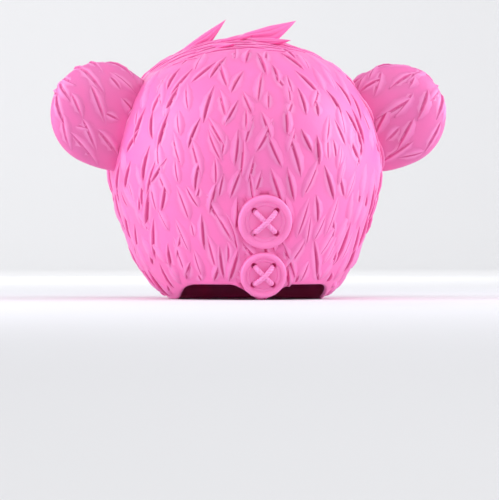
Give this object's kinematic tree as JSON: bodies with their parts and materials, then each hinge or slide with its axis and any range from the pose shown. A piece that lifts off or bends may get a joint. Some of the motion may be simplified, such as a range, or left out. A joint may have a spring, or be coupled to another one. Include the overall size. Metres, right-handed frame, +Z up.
{
  "type": "bear mask",
  "caption": "Full-head bear mask of moulded latex fur: hollow, open at the neck, with round ears, a swept tuft, a muzzle, open eyes and sewn buttons at the nape.",
  "frame": {"origin": "on the plane of the neck rim, under the middle of the whole mask's box", "axes": "+Z up, -Y the way the face looks, +X towards the bear's own left ear"},
  "size_m": [0.369, 0.2788, 0.2596],
  "materials": {
    "pink_latex": "soft satin skin of moulded latex, hot pink, darker in the grooves between the fur locks",
    "nose_gloss": "gloss-painted latex, dark plum",
    "button_latex": "smooth satin latex, the pink of the mask",
    "thread_latex": "twisted cord cast in the same latex, matt"
  },
  "bodies": {
    "root": {"head_shell": "pink_latex", "ear_left": "pink_latex", "ear_right": "pink_latex", "hair_tuft": "pink_latex", "nose": "nose_gloss", "button_upper": "button_latex", "button_lower": "button_latex", "stitches_upper": "thread_latex", "stitches_lower": "thread_latex"}
  },
  "joints": []
}
